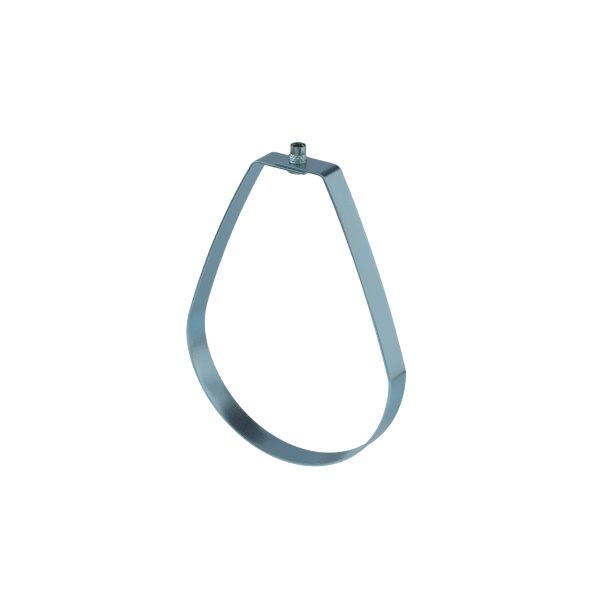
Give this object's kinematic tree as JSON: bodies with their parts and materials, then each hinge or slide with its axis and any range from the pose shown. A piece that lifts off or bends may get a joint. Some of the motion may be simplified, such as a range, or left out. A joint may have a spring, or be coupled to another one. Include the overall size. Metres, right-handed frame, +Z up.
{
  "type": "swivel loop pipe hanger",
  "caption": "Pear-shaped steel strap loop that carries a sprinkler pipe, hung from a threaded rod by a turned nut that swivels in its overlapping flat head.",
  "frame": {"origin": "centre of the threaded bore on the nut's top face, on the swivel axis", "axes": "+Z up along the hanging rod and the swivel axis, +X along the flat head across the loop, +Y along the pipe"},
  "size_m": [0.2252, 0.028, 0.3146],
  "materials": {
    "zinc_strap": "bright bluish zinc plating, satin",
    "zinc_nut": "bright greenish zinc plating, turned"
  },
  "bodies": {
    "nut": {"swivel_nut": "zinc_nut"},
    "loop": {"strap": "zinc_strap"}
  },
  "joints": [
    {"name": "swivel", "type": "hinge", "parent": "nut", "child": "loop", "pos_m": [0, 0, 0], "axis": [0, 0, 1], "continuous": true}
  ]
}
